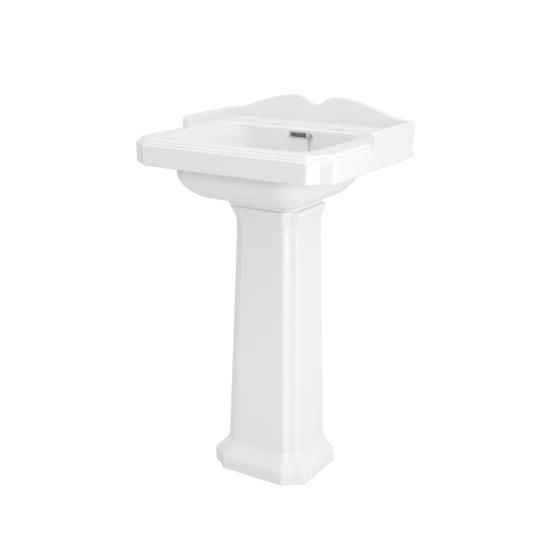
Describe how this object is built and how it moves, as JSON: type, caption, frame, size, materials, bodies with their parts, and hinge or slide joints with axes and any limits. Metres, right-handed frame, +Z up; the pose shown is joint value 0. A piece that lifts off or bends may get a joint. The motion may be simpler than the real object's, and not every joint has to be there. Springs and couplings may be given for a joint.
{
  "type": "pedestal sink",
  "caption": "White china basin with a scalloped backsplash, side upstands and tap holes on a tapered pedestal, with slotted waste, plug on a ball chain and bottle trap.",
  "frame": {"origin": "on the floor, at the centre of the basin's plan", "axes": "+Z up, +Y towards the wall behind the basin, +X to the right of someone facing the basin"},
  "size_m": [0.54, 0.442, 0.9315],
  "materials": {
    "white_china": "glossy clear glaze over white vitreous china",
    "white_sealant": "satin white silicone",
    "chrome": "polished chrome plate",
    "brass": "plain machined brass",
    "zinc_steel": "bright zinc plated steel",
    "black_rubber": "matt black rubber",
    "white_plastic": "semi-gloss moulded white polypropylene"
  },
  "bodies": {
    "root": {"basin": "white_china", "pedestal": "white_china", "pedestal_seal": "white_sealant", "waste_body": "chrome", "waste_top_seal": "black_rubber", "waste_bottom_seal": "black_rubber", "waste_backnut": "brass", "stay_bolt": "chrome", "stay_washer": "zinc_steel", "stay_nut": "zinc_steel", "stay_ring": "chrome", "chain_coupling_upper": "chrome", "chain_hanging": "chrome", "overflow_grid": "chrome", "overflow_sleeve": "black_rubber", "trap_body": "white_plastic", "trap_dip_tube": "white_plastic", "trap_inlet_seal": "black_rubber", "trap_inlet_nut": "white_plastic", "trap_outlet_seal": "black_rubber", "trap_outlet_nut": "white_plastic", "outlet_pipe": "white_plastic", "wall_stud_left": "zinc_steel", "wall_stud_right": "zinc_steel", "wall_bush_left": "white_plastic", "wall_bush_right": "white_plastic", "wall_washer_left": "zinc_steel", "wall_washer_right": "zinc_steel", "wall_nut_left": "zinc_steel", "wall_nut_right": "zinc_steel", "floor_washer_left": "white_plastic", "floor_washer_right": "white_plastic", "floor_screw_left": "zinc_steel", "floor_screw_right": "zinc_steel"},
    "plug": {"plug_cap": "chrome", "plug_seal": "black_rubber", "plug_eye": "chrome", "chain_at_plug": "chrome", "chain_coupling_lower": "chrome"},
    "trap_cup": {"trap_cup": "white_plastic", "trap_cup_seal": "black_rubber"}
  },
  "joints": [
    {"name": "plug_lift", "type": "slide", "parent": "root", "child": "plug", "axis": [0, 0, 1], "range_m": [0, 0.06]},
    {"name": "trap_cup_drop", "type": "slide", "parent": "root", "child": "trap_cup", "axis": [0, 0, -1], "range_m": [0, 0.06]}
  ]
}
